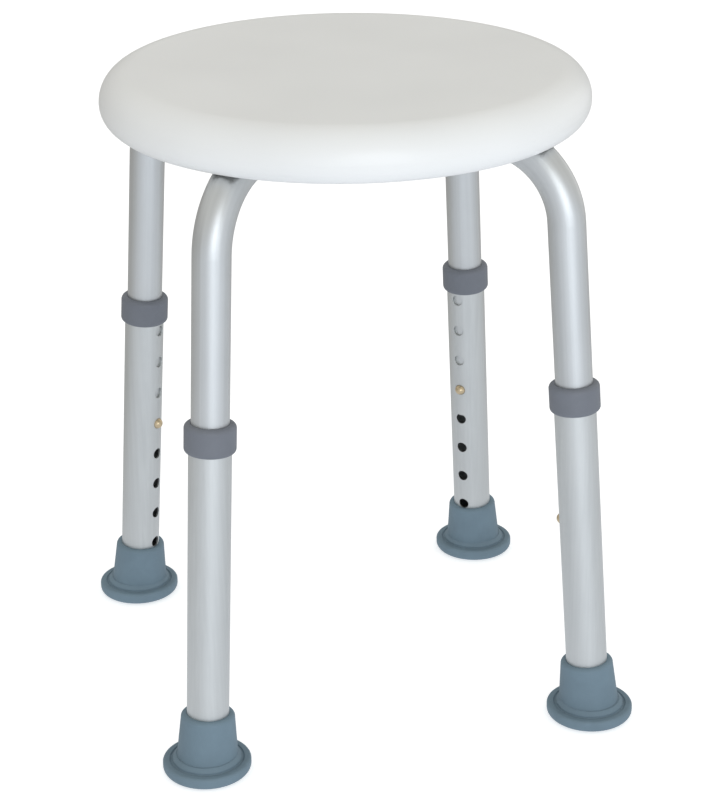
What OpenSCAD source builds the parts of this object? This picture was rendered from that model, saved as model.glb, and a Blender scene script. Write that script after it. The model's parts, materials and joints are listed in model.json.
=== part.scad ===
// Round bath and shower stool on four height-adjustable telescoping legs.
// Frame: +Z up, origin on the floor under the centre of the seat, -Y is the front.
// Each leg is drawn in its own leg frame: local +Z runs up the leg axis, local -X looks at the stool axis.

/* [Seat] */
// Seat diameter
seat_d = 332; // [280:1:400]
// Height of the sitting face above the floor, legs in the fourth hole from the top
seat_top_z = 445; // [420:1:460]
// Seat thickness at the rim
seat_t = 36; // [36:1:45]
// Radius on the upper edge of the seat
seat_edge_top = 20.5; // [4:0.5:21]
// Radius on the lower edge of the seat
seat_edge_low = 15; // [4:0.5:15]
// Wall of the blow-moulded seat
seat_wall = 3; // [2:0.25:5]

/* [Frame] */
// Outer diameter of the upper tubes
upper_d = 25.4; // [22:0.1:30]
// Wall of all tubes
tube_wall = 1.5; // [1:0.1:3]
// Sine of the lean of each leg towards the stool axis
leg_lean = 0.07584; // [0:0.00001:0.15]
// Centre-line radius of the tube bends
bend_r = 54; // [40:1:70]
// Half length of the straight run under the seat
run_half = 113; // [90:0.1:140]
// Height of the centre line of that run
run_z = 410; // [402:0.1:412]

/* [Legs] */
// Outer diameter of the lower tubes
lower_d = 28.6; // [26:0.1:34]
// Distance between adjustment holes
hole_pitch = 25.4; // [20:0.1:30]
// Number of adjustment holes
hole_count = 8; // [5:1:10]
// Hole that the button is in, counted from the top
hole_used = 4; // [1:1:8]
// Distance of the top hole from the floor along the leg
hole_top_s = 224; // [210:0.5:240]
// Diameter of the adjustment holes
hole_d = 8.2; // [7:0.1:10]
// Upper end of the lower tube, along the leg
lower_top_s = 246; // [240:0.5:260]

/* [Feet] */
// Diameter of the foot flange
foot_d = 60; // [50:1:80]
// Height of the foot socket along the leg
foot_top_s = 42.4; // [35:0.1:60]

/* [Hidden] */
$fn = 64;
gap = 0.05;

seat_r = seat_d / 2;
seat_low_z = seat_top_z - seat_t;

upper_r = upper_d / 2;
upper_bore_r = upper_r - tube_wall;
lower_r = lower_d / 2;
lower_bore_r = upper_r + 0.09;

leg_tilt = asin(leg_lean);
bend_z = run_z - bend_r;
bend_s = (bend_z + bend_r * sin(leg_tilt)) / cos(leg_tilt);
foot_reach = run_half + bend_r * cos(leg_tilt) + bend_s * sin(leg_tilt);

button_s = hole_top_s - (hole_used - 1) * hole_pitch;
upper_end_s = button_s - 23;
lower_end_s = 9.6;
hole_r = hole_d / 2;
button_r = hole_r - 0.1;

channel_w = upper_d + 1.2;
channel_z = run_z + upper_r + 0.1;
channel_reach = 155.5;

screw_reach = 65;
saddle_low_z = run_z - upper_r - 4;
insert_r = 4.5;
insert_low_z = channel_z + 0.2;
insert_h = 11.5;

collar_low_s = 229.5;
collar_top_s = 249.5;
collar_r = 17.25;
collar_edge_low = 3;
collar_edge_top = 3.4;

foot_r = foot_d / 2;

// front left, front right, back right, back left
leg_angles = [225, 315, 45, 135];

// ---- placing ----

module at_foot(a) {
  rotate([0, 0, a])
    translate([foot_reach, 0, 0])
      children();
}

module at_leg(a) {
  at_foot(a)
    rotate([0, -leg_tilt, 0])
      children();
}

// local +Z looks out of the adjustment hole at height s
module at_hole(a, s) {
  at_leg(a)
    translate([0, 0, s])
      rotate([0, -90, 0])
        children();
}

module at_screws() {
  for (a = [45, 225])
    rotate([0, 0, a])
      translate([screw_reach, 0, 0])
        children();
  for (a = [135, 315])
    rotate([0, 0, a])
      translate([screw_reach, 0, 0])
        children();
  rotate([0, 0, 135])
    children();
}

// ---- seat ----

module rounded_disc(r, low, high, r_low, r_high) {
  rotate_extrude($fn = 180)
    union() {
      translate([0, low])
        square([r - r_low, r_low]);
      translate([0, low + r_low])
        square([r, high - low - r_low - r_high]);
      translate([0, high - r_high])
        square([r - r_high, r_high]);
      intersection() {
        translate([r - r_low, low + r_low])
          circle(r_low);
        translate([r - r_low, low])
          square([r_low, r_low]);
      }
      intersection() {
        translate([r - r_high, high - r_high])
          circle(r_high);
        translate([r - r_high, high - r_high])
          square([r_high, r_high]);
      }
    }
}

// the two crossed grooves that the frame tubes lie in
module channels(grow) {
  for (a = [45, 135])
    rotate([0, 0, a])
      translate([-channel_reach - grow, -channel_w / 2 - grow, seat_low_z - 1])
        cube([2 * (channel_reach + grow), channel_w + 2 * grow, channel_z - seat_low_z + 1 + grow]);
}

// conical dimples that stiffen the hollow seat from below
module dimples(grow) {
  for (a = [0, 90, 180, 270])
    rotate([0, 0, a])
      translate([88, 0, seat_low_z - 1])
        cylinder(r1 = 24 + grow, r2 = 13 + grow, h = 23 + grow);
}

module seat_shell() {
  color([0.90, 0.90, 0.89])
    difference() {
      rounded_disc(seat_r, seat_low_z, seat_top_z, seat_edge_low, seat_edge_top);
      channels(0);
      dimples(0);
      difference() {
        rounded_disc(seat_r - seat_wall, seat_low_z + seat_wall, seat_top_z - seat_wall,
          seat_edge_low - seat_wall, seat_edge_top - seat_wall);
        channels(seat_wall);
        dimples(seat_wall);
        at_screws()
          translate([0, 0, seat_low_z])
            cylinder(r = insert_r + seat_wall, h = seat_t);
      }
      at_screws()
        translate([0, 0, channel_z - 1])
          cylinder(r = insert_r + gap, h = insert_low_z + insert_h - channel_z + 1.2);
      translate([0, -140, seat_low_z - 1])
        cylinder(r = 4, h = seat_wall + 2);
    }
}

module seat_plug() {
  color([0.85, 0.85, 0.84])
    translate([0, -140, seat_low_z])
      union() {
        translate([0, 0, -1.2])
          cylinder(r = 6.5, h = 1.15);
        translate([0, 0, -0.5])
          cylinder(r = 3.95, h = seat_wall + 2);
      }
}

module seat_inserts() {
  color([0.78, 0.64, 0.38])
    at_screws()
      translate([0, 0, insert_low_z])
        difference() {
          union() {
            cylinder(r = insert_r, h = 3.6);
            translate([0, 0, 3.6])
              cylinder(r = insert_r - 0.6, h = 1.5);
            translate([0, 0, 5.1])
              cylinder(r = insert_r, h = insert_h - 5.1);
          }
          translate([0, 0, -1])
            cylinder(r = 2.55, h = insert_h + 2);
        }
}

module seat_screws() {
  color([0.74, 0.75, 0.77])
    at_screws()
      translate([0, 0, saddle_low_z - gap])
        difference() {
          union() {
            cylinder(r = 2.5, h = insert_low_z + insert_h - 1 - saddle_low_z);
            translate([0, 0, -2])
              cylinder(r = 5.4, h = 2);
            translate([0, 0, -3.6])
              cylinder(r1 = 4, r2 = 5.4, h = 1.6);
          }
          translate([-3, -0.6, -3.7])
            cube([6, 1.2, 2]);
          translate([-0.6, -3, -3.7])
            cube([1.2, 6, 2]);
        }
}

// every washer has two crossing grooves, so that the same washer also fits the crossing
module saddle_washers() {
  color([0.22, 0.23, 0.25])
    at_screws()
      translate([0, 0, saddle_low_z])
        difference() {
          union() {
            cylinder(r1 = 7.4, r2 = 8.5, h = 1.2);
            translate([0, 0, 1.2])
              cylinder(r = 8.5, h = 6);
          }
          for (t = [0, 90])
            rotate([0, 0, t])
              translate([-12, 0, run_z - saddle_low_z])
                rotate([0, 90, 0])
                  cylinder(r = upper_r + gap, h = 24);
          translate([0, 0, -1])
            cylinder(r = 2.7, h = 9);
        }
}

// ---- frame ----

// one leg and one bend, as a solid bar of radius r
module half_bar(r, end_s) {
  translate([run_half, 0, bend_z]) {
    rotate([0, -leg_tilt, 0])
      translate([bend_r, 0, end_s - bend_s])
        cylinder(r = r, h = bend_s - end_s);
    difference() {
      rotate([90, 0, 0])
        rotate_extrude(angle = 90)
          translate([bend_r, 0])
            circle(r);
      rotate([0, -leg_tilt, 0])
        translate([0, -50, -100])
          cube([200, 100, 100]);
    }
  }
}

module bar(r, end_s) {
  half_bar(r, end_s);
  rotate([0, 0, 180])
    half_bar(r, end_s);
  translate([run_half, 0, run_z])
    rotate([0, -90, 0])
      cylinder(r = r, h = 2 * run_half);
}

// space pressed out of one tube for the other, below the middle plane
module saddle(r, top) {
  intersection() {
    translate([0, 40, 0])
      rotate([90, 0, 0])
        cylinder(r = r, h = 80);
    translate([-40, -40, top - 80])
      cube([80, 80, 80]);
  }
}

// side = 1 keeps the upper half at the crossing, side = -1 the lower half
module frame_tube(side) {
  $fn = 40;
  difference() {
    bar(upper_r, upper_end_s);
    translate([0, 0, run_z])
      rotate([side > 0 ? 0 : 180, 0, 0])
        saddle(upper_r + 0.2, 0.15);
    difference() {
      bar(upper_bore_r, upper_end_s - 5);
      translate([0, 0, run_z])
        rotate([side > 0 ? 0 : 180, 0, 0])
          saddle(upper_r + 0.2 + tube_wall, 0.15 + tube_wall);
    }
    for (x = [-screw_reach, 0, screw_reach])
      translate([x, 0, run_z - 20])
        cylinder(r = 2.7, h = 40);
    for (a = [0, 180])
      at_hole(a, button_s)
        cylinder(r = button_r + 0.1, h = 20);
  }
}

module frame_tube_a() {
  color([0.80, 0.82, 0.84])
    rotate([0, 0, 45])
      frame_tube(1);
}

module frame_tube_b() {
  color([0.80, 0.82, 0.84])
    rotate([0, 0, 135])
      frame_tube(-1);
}

// ---- lower legs ----

module lower_tube(a) {
  color([0.84, 0.86, 0.88])
    difference() {
      at_leg(a)
        difference() {
          translate([0, 0, lower_end_s])
            cylinder(r = lower_r, h = lower_top_s - lower_end_s);
          translate([0, 0, lower_end_s - 1])
            cylinder(r = lower_bore_r, h = lower_top_s - lower_end_s + 2);
        }
      for (i = [0 : hole_count - 1])
        at_hole(a, hole_top_s - i * hole_pitch)
          cylinder(r = hole_r, h = 20);
    }
}

module collar(a) {
  color([0.47, 0.48, 0.52])
    at_leg(a)
      rotate_extrude()
        difference() {
          union() {
            translate([12, collar_low_s])
              square([collar_r - 12 - collar_edge_low, collar_edge_low]);
            translate([12, collar_low_s + collar_edge_low])
              square([collar_r - 12, collar_top_s - collar_low_s - collar_edge_low - collar_edge_top]);
            translate([12, collar_top_s - collar_edge_top])
              square([collar_r - 12 - collar_edge_top, collar_edge_top]);
            corner(collar_r, collar_low_s, collar_edge_low, 1, -1);
            corner(collar_r, collar_top_s, collar_edge_top, 1, 1);
          }
          translate([0, collar_low_s - 1])
            square([lower_r + gap, lower_top_s + gap - collar_low_s + 1]);
          translate([0, collar_low_s - 1])
            square([upper_r + 0.08, 30]);
        }
}

// quarter round of radius r that fills the corner of a profile, corner towards (sx, sy)
module corner(x, y, r, sx, sy) {
  intersection() {
    translate([x - sx * r, y - sy * r])
      circle(r);
    translate([sx > 0 ? x - r : x, sy > 0 ? y - r : y])
      square([r, r]);
  }
}

module foot_flange() {
  rotate_extrude($fn = 96)
    difference() {
      union() {
        square([foot_r - 4.5, 9]);
        translate([foot_r - 4.5, 4.5])
          square([4.5, 2.5]);
        translate([foot_r - 4.5, 7])
          square([2.5, 2]);
        corner(foot_r, 0, 4.5, 1, -1);
        corner(foot_r, 9, 2, 1, 1);
        polygon([[0, 8], [23.4, 8], [23.4, 10], [22.8, 10.8], [21, 12.6], [0, 12.6]]);
      }
      translate([24.4, 9.2])
        circle(1);
      for (r = [7, 13, 19])
        translate([r, -1])
          square([2, 2.4]);
    }
}

module foot_socket() {
  rotate_extrude($fn = 96)
    union() {
      polygon([[0, 6], [21.2, 6], [18.3, foot_top_s - 2.8], [0, foot_top_s - 2.8]]);
      translate([0, foot_top_s - 2.8])
        square([15.5, 2.8]);
      corner(18.3, foot_top_s, 2.8, 1, 1);
    }
}

module foot(a) {
  color([0.42, 0.51, 0.56])
    difference() {
      union() {
        at_foot(a)
          foot_flange();
        at_leg(a)
          foot_socket();
      }
      at_leg(a)
        translate([0, 0, 8])
          cylinder(r = lower_r + gap, h = 60);
    }
}

module foot_washer(a) {
  color([0.66, 0.67, 0.69])
    at_leg(a)
      translate([0, 0, 8 + gap])
        difference() {
          cylinder(r = lower_r - 0.1, h = 1.5);
          translate([0, 0, -1])
            cylinder(r = 5, h = 4);
        }
}

// ---- locks ----

module button(a) {
  color([0.80, 0.72, 0.56])
    at_hole(a, button_s)
      rotate_extrude()
        union() {
          translate([0, 9.25])
            square([4.8, 0.75]);
          translate([0, 10])
            square([button_r, 3.6]);
          intersection() {
            translate([0, 13.6])
              circle(button_r);
            translate([0, 13.6])
              square([button_r, button_r]);
          }
        }
}

module spring_clip(a) {
  color([0.62, 0.63, 0.65])
    at_leg(a)
      translate([0, -4, button_s]) {
        translate([-9.2, 0, -7])
          cube([0.8, 8, 39]);
        translate([9.55, 0, -12])
          cube([0.8, 8, 44]);
        translate([0.575, 0, 32])
          rotate([-90, 0, 0])
            intersection() {
              difference() {
                cylinder(r = 9.775, h = 8);
                translate([0, 0, -1])
                  cylinder(r = 8.975, h = 10);
              }
              translate([-12, -12, 0])
                cube([24, 12, 8]);
            }
      }
}

module lower_tube_fl() {
  lower_tube(leg_angles[0]);
}

module lower_tube_fr() {
  lower_tube(leg_angles[1]);
}

module lower_tube_br() {
  lower_tube(leg_angles[2]);
}

module lower_tube_bl() {
  lower_tube(leg_angles[3]);
}

module collar_fl() {
  collar(leg_angles[0]);
}

module collar_fr() {
  collar(leg_angles[1]);
}

module collar_br() {
  collar(leg_angles[2]);
}

module collar_bl() {
  collar(leg_angles[3]);
}

module foot_fl() {
  foot(leg_angles[0]);
}

module foot_fr() {
  foot(leg_angles[1]);
}

module foot_br() {
  foot(leg_angles[2]);
}

module foot_bl() {
  foot(leg_angles[3]);
}

module foot_washer_fl() {
  foot_washer(leg_angles[0]);
}

module foot_washer_fr() {
  foot_washer(leg_angles[1]);
}

module foot_washer_br() {
  foot_washer(leg_angles[2]);
}

module foot_washer_bl() {
  foot_washer(leg_angles[3]);
}

module button_fl() {
  button(leg_angles[0]);
}

module button_fr() {
  button(leg_angles[1]);
}

module button_br() {
  button(leg_angles[2]);
}

module button_bl() {
  button(leg_angles[3]);
}

module spring_clip_fl() {
  spring_clip(leg_angles[0]);
}

module spring_clip_fr() {
  spring_clip(leg_angles[1]);
}

module spring_clip_br() {
  spring_clip(leg_angles[2]);
}

module spring_clip_bl() {
  spring_clip(leg_angles[3]);
}

seat_shell();
seat_plug();
seat_inserts();
seat_screws();
saddle_washers();
frame_tube_a();
frame_tube_b();
lower_tube_fl();
lower_tube_fr();
lower_tube_br();
lower_tube_bl();
collar_fl();
collar_fr();
collar_br();
collar_bl();
foot_fl();
foot_fr();
foot_br();
foot_bl();
foot_washer_fl();
foot_washer_fr();
foot_washer_br();
foot_washer_bl();
button_fl();
button_fr();
button_br();
button_bl();
spring_clip_fl();
spring_clip_fr();
spring_clip_br();
spring_clip_bl();
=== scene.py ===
import json
import math

import bpy
from mathutils import Matrix, Vector


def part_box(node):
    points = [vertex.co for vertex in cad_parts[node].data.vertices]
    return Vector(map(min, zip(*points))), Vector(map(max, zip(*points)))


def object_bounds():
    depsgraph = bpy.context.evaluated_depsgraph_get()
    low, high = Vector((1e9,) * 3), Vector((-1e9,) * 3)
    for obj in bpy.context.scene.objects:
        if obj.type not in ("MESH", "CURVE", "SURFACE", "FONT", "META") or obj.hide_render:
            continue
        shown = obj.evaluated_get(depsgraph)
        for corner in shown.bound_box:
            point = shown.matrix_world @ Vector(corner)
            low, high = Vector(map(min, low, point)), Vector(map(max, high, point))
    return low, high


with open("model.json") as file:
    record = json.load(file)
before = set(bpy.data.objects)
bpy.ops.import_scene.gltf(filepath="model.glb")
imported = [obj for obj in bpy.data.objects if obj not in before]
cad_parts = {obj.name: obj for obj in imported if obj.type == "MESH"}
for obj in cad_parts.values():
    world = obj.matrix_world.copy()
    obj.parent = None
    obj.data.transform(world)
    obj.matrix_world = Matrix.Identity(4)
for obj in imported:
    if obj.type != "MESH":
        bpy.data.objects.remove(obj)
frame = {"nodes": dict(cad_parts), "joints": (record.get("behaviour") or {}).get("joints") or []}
cad_lo, cad_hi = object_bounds()
nodes = frame["nodes"]
scene = bpy.context.scene
scene.view_settings.view_transform = "Standard"

LEGS = ("fl", "fr", "br", "bl")
axes = {j["name"]: Vector(j["axis"]) for j in frame["joints"]}
seat_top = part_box("seat_shell")[1].z


# ---- camera ----

# the viewer's place and aim, in seat heights
EYE_REACH = 3.389
EYE_HEIGHT = 1.877
AIM_SIDE = 0.0235
AIM_HEIGHT = 0.449
CAMERA_YAW = math.radians(-14.18)
CAMERA_ROLL = math.radians(-0.56)
SENSOR_MM = 36.0
LENS_MM = 103.2


def make_camera():
    """Camera at the front, a little to the left and above the seat. Returns its right and forward."""
    side = Vector((math.cos(CAMERA_YAW), math.sin(CAMERA_YAW), 0.0))
    front = Vector((math.sin(CAMERA_YAW), -math.cos(CAMERA_YAW), 0.0))
    eye = front * (seat_top * EYE_REACH) + Vector((0, 0, seat_top * EYE_HEIGHT))
    aim = side * (seat_top * AIM_SIDE) + Vector((0, 0, seat_top * AIM_HEIGHT))
    forward = (aim - eye).normalized()
    level = forward.cross(Vector((0, 0, 1))).normalized()
    upright = level.cross(forward)
    right = level * math.cos(CAMERA_ROLL) + upright * math.sin(CAMERA_ROLL)
    up = upright * math.cos(CAMERA_ROLL) - level * math.sin(CAMERA_ROLL)
    data = bpy.data.cameras.new("camera")
    data.sensor_width = SENSOR_MM
    data.lens = LENS_MM
    data.clip_start = 0.05
    data.clip_end = 50.0
    cam = bpy.data.objects.new("camera", data)
    scene.collection.objects.link(cam)
    turn = Matrix((right, up, -forward)).transposed().to_4x4()
    turn.translation = eye
    cam.matrix_world = turn
    scene.camera = cam
    return right, forward


cam_right, cam_forward = make_camera()


# ---- node helpers ----

class Nodes:
    """A node tree, with short calls for the nodes used here."""

    def __init__(self, nt, coord):
        self.nt = nt
        self.coord = self.new("ShaderNodeTexCoord").outputs[coord]

    def new(self, kind, **props):
        n = self.nt.nodes.new(kind)
        for k, v in props.items():
            setattr(n, k, v)
        return n

    def link(self, a, b):
        self.nt.links.new(a, b)

    def put(self, value, sock):
        """Link an output to sock, or set sock to a number, a vector or a colour."""
        if isinstance(value, tuple):
            sock.default_value = value + (1.0,) if sock.type == "RGBA" and len(value) == 3 else value
        elif isinstance(value, (int, float)):
            sock.default_value = value
        else:
            self.link(value, sock)

    def mapped(self, rotation=(0, 0, 0), scale=(1, 1, 1), location=(0, 0, 0)):
        n = self.new("ShaderNodeMapping")
        self.put(rotation, n.inputs["Rotation"])
        self.put(scale, n.inputs["Scale"])
        self.put(location, n.inputs["Location"])
        self.link(self.coord, n.inputs["Vector"])
        return n.outputs["Vector"]

    def noise(self, scale, detail=2.0, rough=0.5, vector=None, distort=0.0):
        n = self.new("ShaderNodeTexNoise")
        self.put(scale, n.inputs["Scale"])
        self.put(detail, n.inputs["Detail"])
        self.put(rough, n.inputs["Roughness"])
        self.put(distort, n.inputs["Distortion"])
        self.link(vector or self.coord, n.inputs["Vector"])
        return n.outputs["Fac"]

    def voronoi(self, scale):
        n = self.new("ShaderNodeTexVoronoi", feature="F1")
        self.put(scale, n.inputs["Scale"])
        self.link(self.coord, n.inputs["Vector"])
        return n.outputs["Distance"]

    def remap(self, value, a0, a1, b0, b1, interpolation="LINEAR"):
        n = self.new("ShaderNodeMapRange", clamp=True, interpolation_type=interpolation)
        self.link(value, n.inputs["Value"])
        for k, v in (("From Min", a0), ("From Max", a1), ("To Min", b0), ("To Max", b1)):
            self.put(v, n.inputs[k])
        return n.outputs["Result"]

    def math(self, op, *values):
        n = self.new("ShaderNodeMath", operation=op)
        for v, sock in zip(values, n.inputs):
            self.put(v, sock)
        return n.outputs["Value"]

    def vector_math(self, op, *values):
        """The node itself, because the result is its Vector or its Value."""
        n = self.new("ShaderNodeVectorMath", operation=op)
        for v, sock in zip(values, n.inputs):
            self.put(v, sock)
        return n

    def mix(self, fac, c0, c1):
        n = self.new("ShaderNodeMix", data_type="RGBA")
        # of the node's sockets these are the factor and the two colours
        for v, i in ((fac, 0), (c0, 6), (c1, 7)):
            self.put(v, n.inputs[i])
        return n.outputs[2]

    def bump(self, height, distance, strength, normal):
        n = self.new("ShaderNodeBump")
        self.put(distance, n.inputs["Distance"])
        self.put(strength, n.inputs["Strength"])
        self.link(height, n.inputs["Height"])
        self.link(normal, n.inputs["Normal"])
        return n.outputs["Normal"]

    def bevel(self, radius):
        """Normal with the sharp edges rounded off, for a thin glint along them."""
        n = self.new("ShaderNodeBevel", samples=4)
        self.put(radius, n.inputs["Radius"])
        return n.outputs["Normal"]

    def split(self, vector):
        n = self.new("ShaderNodeSeparateXYZ")
        self.link(vector, n.inputs[0])
        return n.outputs["X"], n.outputs["Y"], n.outputs["Z"]

    def join(self, x, y, z):
        n = self.new("ShaderNodeCombineXYZ")
        for v, sock in zip((x, y, z), n.inputs):
            self.put(v, sock)
        return n.outputs[0]


class Material(Nodes):
    """A new material's node tree."""

    def __init__(self, name):
        self.mat = bpy.data.materials.new(name)
        self.mat.use_nodes = True
        super().__init__(self.mat.node_tree, "Object")
        self.bsdf = self.nt.nodes["Principled BSDF"]

    def set(self, **values):
        for k, v in values.items():
            self.put(v, self.bsdf.inputs[k.replace("_", " ")])
        return self.mat


def lin(r, g, b):
    """An sRGB colour in 0..255 as linear values."""
    out = []
    for v in (r, g, b):
        v /= 255.0
        out.append(v / 12.92 if v <= 0.04045 else ((v + 0.055) / 1.055) ** 2.4)
    return tuple(out)


def shade(colour, k):
    return tuple(min(1.0, v * k) for v in colour)


# ---- materials ----

# the frame tubes, in metres: half of the straight run, and the height of the bend centres
RUN_HALF = 0.113
BEND_Z = 0.356
# how much the grain of a drawn tube is stretched along it
STRETCH_STRAIGHT = 0.012
STRETCH_BENT = 0.008


def plastic_seat():
    """Blow-moulded polyethylene: a fine spark grain over slow waves in the wall."""
    t = Material("seat_hdpe")
    grain = t.noise(1500, 3, 0.6)
    cells = t.voronoi(900)
    waves = t.noise(18)
    tone = t.noise(7)
    colour = t.mix(t.remap(tone, 0.35, 0.65, 0, 1), lin(240, 240, 238), lin(245, 245, 243))
    n = t.bump(waves, 0.0006, 0.25, t.bevel(0.0006))
    n = t.bump(t.math("ADD", grain, t.math("MULTIPLY", cells, 0.6)), 0.00006, 0.55, n)
    return t.set(Base_Color=colour, Roughness=t.remap(grain, 0.3, 0.7, 0.28, 0.36), Normal=n,
                 IOR=1.50, Subsurface_Weight=0.06, Subsurface_Radius=(0.004, 0.004, 0.004))


def satin(t, along, tone, rough):
    """Satin anodised aluminium on t. along is a vector whose Z runs with the drawn tube."""
    lines = t.noise(2600, 3, 0.65, along)
    broad = t.noise(420, 2, 0.5, along)
    blast = t.noise(2400)
    cloud = t.noise(22, 3, 0.55)
    scuff = t.noise(160, 4, 0.7, along, 0.4)
    both = t.math("ADD", t.math("MULTIPLY", broad, 0.6), t.math("MULTIPLY", cloud, 0.4))
    c = t.mix(t.remap(both, 0.35, 0.65, 0, 1), shade(tone, 0.93), tone)
    c = t.mix(t.remap(scuff, 0.66, 0.74, 0, 0.35), c, shade(tone, 1.12))
    n = t.bump(lines, 0.00003, 0.5, t.bevel(0.0004))
    n = t.bump(blast, 0.00002, 0.35, n)
    mixed = t.math("ADD", t.math("MULTIPLY", lines, 0.5), t.math("MULTIPLY", cloud, 0.5))
    return t.set(Base_Color=c, Metallic=1.0, Normal=n,
                 Roughness=t.remap(mixed, 0.3, 0.7, rough - 0.05, rough + 0.06))


def straight_tube(name, axis, tone, rough):
    t = Material(name)
    turn = axis.to_track_quat("Z", "Y").inverted().to_euler("XYZ")
    along = t.mapped(rotation=tuple(turn), scale=(1.0, 1.0, STRETCH_STRAIGHT))
    return satin(t, along, tone, rough)


def bent_tube(name, turn, tone, rough):
    """Inverted U in the upright plane at turn degrees: the drawn lines follow leg, bend and run."""
    t = Material(name)
    x, y, z = t.split(t.mapped(rotation=(0, 0, math.radians(-turn))))
    px = t.math("SUBTRACT", t.math("ABSOLUTE", x), RUN_HALF)
    pz = t.math("SUBTRACT", z, BEND_Z)
    lean = math.asin(axes["leg_slide_fl"].xy.length)
    cos, sin = math.cos(lean), math.sin(lean)
    leg = t.math("ADD", t.math("MULTIPLY", px, cos), t.math("MULTIPLY", pz, sin))
    up = t.math("SUBTRACT", t.math("MULTIPLY", pz, cos), t.math("MULTIPLY", px, sin))
    qx = t.math("MAXIMUM", px, 0.0)
    bend = t.math("SQRT", t.math("ADD", t.math("MULTIPLY", qx, qx), t.math("MULTIPLY", pz, pz)))
    on_leg = t.math("LESS_THAN", up, 0.0)
    away = t.math("ADD", t.math("MULTIPLY", on_leg, leg),
                  t.math("MULTIPLY", t.math("SUBTRACT", 1.0, on_leg), bend))
    run = t.math("MULTIPLY", t.math("SUBTRACT", z, x), STRETCH_BENT)
    return satin(t, t.join(away, y, run), tone, rough)


def moulded(name, colour, rough, grain_scale=1300):
    """Hard moulded plastic: a fine grain and faint flow swirls."""
    t = Material(name)
    grain = t.noise(grain_scale, 3, 0.6)
    cloud = t.noise(40, 3, 0.5)
    swirl = t.noise(130, 4, 0.6, None, 0.8)
    c = t.mix(t.remap(cloud, 0.35, 0.65, 0, 1), shade(colour, 0.94), shade(colour, 1.04))
    c = t.mix(t.remap(swirl, 0.58, 0.74, 0, 0.3), c, shade(colour, 1.18))
    n = t.bump(grain, 0.00005, 0.6, t.bevel(0.0004))
    return t.set(Base_Color=c, Normal=n,
                 Roughness=t.remap(grain, 0.3, 0.7, rough - 0.05, rough + 0.07))


def rubber(name, colour):
    """Matt moulded rubber with a fine, pale bloom."""
    t = Material(name)
    fine = t.noise(2200, 4, 0.65)
    pits = t.voronoi(700)
    cloud = t.noise(28, 4, 0.6)
    bloom = t.noise(90, 3, 0.6)
    c = t.mix(t.remap(cloud, 0.3, 0.7, 0, 1), shade(colour, 0.90), shade(colour, 1.06))
    c = t.mix(t.remap(bloom, 0.55, 0.75, 0, 0.22), c, shade(colour, 1.25))
    n = t.bump(t.math("ADD", fine, t.math("MULTIPLY", pits, 0.5)), 0.00008, 0.6, t.bevel(0.0006))
    return t.set(Base_Color=c, Roughness=t.remap(fine, 0.3, 0.7, 0.60, 0.74), Normal=n)


def metal(name, colour, rough, scale=900):
    """Bare or plated metal with a fine grain and faint stains."""
    t = Material(name)
    grain = t.noise(scale, 3, 0.6)
    stain = t.noise(60, 3, 0.6)
    c = t.mix(t.remap(stain, 0.35, 0.65, 0, 1), shade(colour, 0.86), colour)
    n = t.bump(grain, 0.00003, 0.5, t.bevel(0.0003))
    return t.set(Base_Color=c, Metallic=1.0, Normal=n,
                 Roughness=t.remap(grain, 0.3, 0.7, rough - 0.05, rough + 0.08))


def assign(node, mat):
    o = nodes[node]
    if not o.material_slots:
        o.data.materials.append(mat)
    for s in o.material_slots:
        s.material = mat


assign("seat_shell", plastic_seat())
assign("seat_plug", moulded("plug_plastic", lin(226, 227, 226), 0.45))
assign("seat_inserts", metal("insert_brass", lin(205, 170, 105), 0.32, 1400))
assign("seat_screws", metal("zinc_screw", lin(196, 198, 202), 0.30, 1500))
assign("saddle_washers", moulded("saddle_nylon", lin(60, 62, 66), 0.55))

upper_tone = lin(212, 214, 214)
lower_tone = lin(213, 215, 214)
for letter, turn in (("a", 45), ("b", 135)):
    assign("frame_tube_" + letter, bent_tube("upper_tube_" + letter, turn, upper_tone, 0.42))

leg_mats = {
    "collar_": moulded("collar_plastic", lin(115, 119, 127), 0.52, 1500),
    "foot_": rubber("foot_rubber", lin(112, 133, 146)),
    "foot_washer_": metal("foot_washer_zinc", lin(170, 172, 176), 0.4),
    "spring_clip_": metal("spring_steel", lin(150, 153, 158), 0.33, 1200),
    "button_": metal("button_brass", lin(214, 194, 160), 0.30, 1600),
}
for k in LEGS:
    name = "lower_tube_" + k
    assign(name, straight_tube(name, axes["leg_slide_" + k], lower_tone, 0.47))
    for piece, mat in leg_mats.items():
        assign(piece + k, mat)


# ---- stage ----

FLOOR_HALF = 14.0
FLOOR_GAP = 0.0002
# the compass direction that the light mostly comes from
BRIGHT_TURN = 20
# the glow from behind to BRIGHT_TURN: place on the ramp, colour
GLOW = (
    (0.00, (0.41, 0.40, 0.385, 1)),
    (0.50, (0.51, 0.512, 0.505, 1)),
    (0.78, (0.74, 0.77, 0.81, 1)),
    (1.00, (0.98, 1.04, 1.13, 1)),
)
OVERHEAD = (0.73, 0.73, 0.71)
COOL = (0.90, 0.95, 1.0)
NEUTRAL = (1.0, 1.0, 1.0)
# name, compass direction, distance, height, size, power, colour
LIGHTS = (
    ("key_front", 14, 2.6, 0.35, 1.9, 14, COOL),
    ("high_front", 12, 2.5, 1.35, 1.0, 3.5, COOL),
    ("back_right", 125, 2.5, 0.3, 2.2, 5, NEUTRAL),
)

toward = Vector((-cam_forward.x, -cam_forward.y, 0.0)).normalized()
across = Vector((cam_right.x, cam_right.y, 0.0)).normalized()


def compass(degrees):
    """Horizontal direction, measured from the viewer's side towards the right."""
    a = math.radians(degrees)
    return toward * math.cos(a) + across * math.sin(a)


bright = compass(BRIGHT_TURN)


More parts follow.
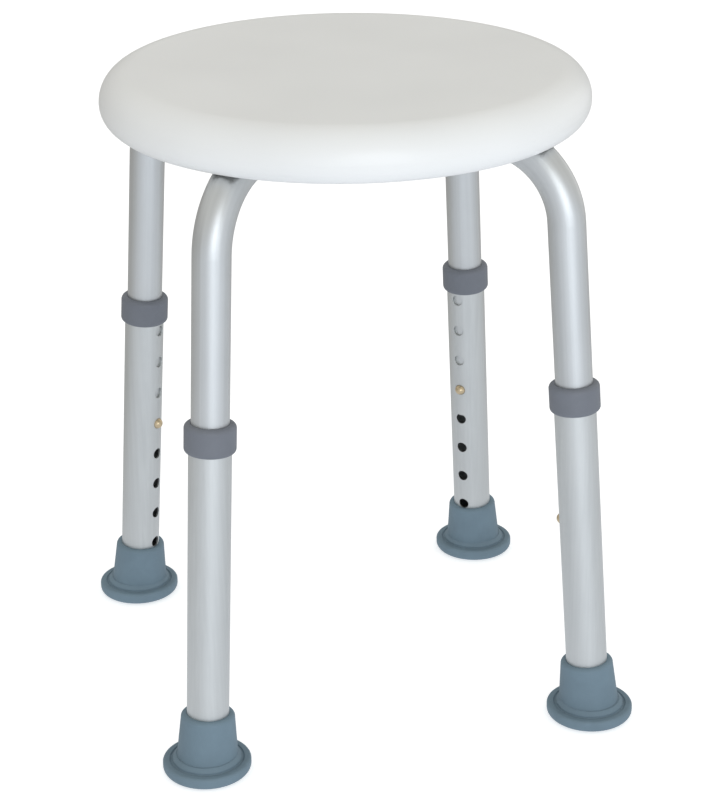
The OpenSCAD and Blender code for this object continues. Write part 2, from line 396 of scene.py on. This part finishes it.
def glow(t, vector, soften):
    """Colour by compass direction: brightest towards the front right, dimmest behind on the left."""
    flat = t.vector_math("MULTIPLY", vector, (1.0, 1.0, 0.0)).outputs["Vector"]
    size = t.vector_math("LENGTH", flat).outputs["Value"]
    dot = t.vector_math("DOT_PRODUCT", flat, tuple(bright)).outputs["Value"]
    facing = t.math("DIVIDE", dot, t.math("ADD", size, soften))
    ramp = t.new("ShaderNodeValToRGB")
    stops = ramp.color_ramp
    stops.interpolation = "EASE"
    for stop, (_, colour) in zip(stops.elements, (GLOW[0], GLOW[-1])):
        stop.color = colour
    for place, colour in GLOW[1:-1]:
        stops.elements.new(place).color = colour
    t.link(t.math("MULTIPLY_ADD", facing, 0.5, 0.5), ramp.inputs[0])
    return ramp.outputs[0]


def make_floor():
    """White floor. The camera sees it white; it lights the stool with the glow instead."""
    mesh = bpy.data.meshes.new("floor")
    s, z = FLOOR_HALF, cad_lo.z - FLOOR_GAP
    mesh.from_pydata([(-s, -s, z), (s, -s, z), (s, s, z), (-s, s, z)], [], [(0, 1, 2, 3)])
    floor = bpy.data.objects.new("floor", mesh)
    scene.collection.objects.link(floor)
    t = Material("floor_white")
    t.set(Base_Color=(0.80, 0.80, 0.80), Roughness=0.9, Specular_IOR_Level=0.0,
          Emission_Color=(1.0, 1.0, 1.0), Emission_Strength=0.55)
    lit = t.new("ShaderNodeEmission")
    t.link(glow(t, t.mapped(location=tuple(bright * 0.5)), 0.3), lit.inputs["Color"])
    t.put(1.0, lit.inputs["Strength"])
    path = t.new("ShaderNodeLightPath")
    mix = t.new("ShaderNodeMixShader")
    t.link(path.outputs["Is Camera Ray"], mix.inputs[0])
    t.link(lit.outputs[0], mix.inputs[1])
    t.link(t.bsdf.outputs[0], mix.inputs[2])
    out = next(n for n in t.nt.nodes if n.type == "OUTPUT_MATERIAL")
    t.link(mix.outputs[0], out.inputs["Surface"])
    mesh.materials.append(t.mat)


def make_world():
    """A soft room: the same glow near the horizon, an even, slightly warm white overhead."""
    world = bpy.data.worlds.new("studio")
    scene.world = world
    world.use_nodes = True
    t = Nodes(world.node_tree, "Generated")
    height = t.split(t.coord)[2]
    lift = t.remap(height, 0.0, 0.5, 0.0, 1.0, "SMOOTHSTEP")
    background = t.nt.nodes["Background"]
    t.link(t.mix(lift, glow(t, t.coord, 0.15), OVERHEAD), background.inputs["Color"])
    t.put(1.0, background.inputs["Strength"])


def area(name, where, size, power, colour):
    """Round area light, turned to the middle of the stool."""
    data = bpy.data.lights.new(name, "AREA")
    data.energy = power
    data.color = colour
    data.shape = "DISK"
    data.size = size
    o = bpy.data.objects.new(name, data)
    scene.collection.objects.link(o)
    o.location = where
    aim = Vector((0, 0, (cad_lo.z + cad_hi.z) / 2))
    o.rotation_mode = "QUATERNION"
    o.rotation_quaternion = (aim - where).to_track_quat("-Z", "Y")


make_floor()
make_world()
for name, turn, reach, height, size, power, colour in LIGHTS:
    area(name, compass(turn) * reach + Vector((0, 0, height)), size, power, colour)
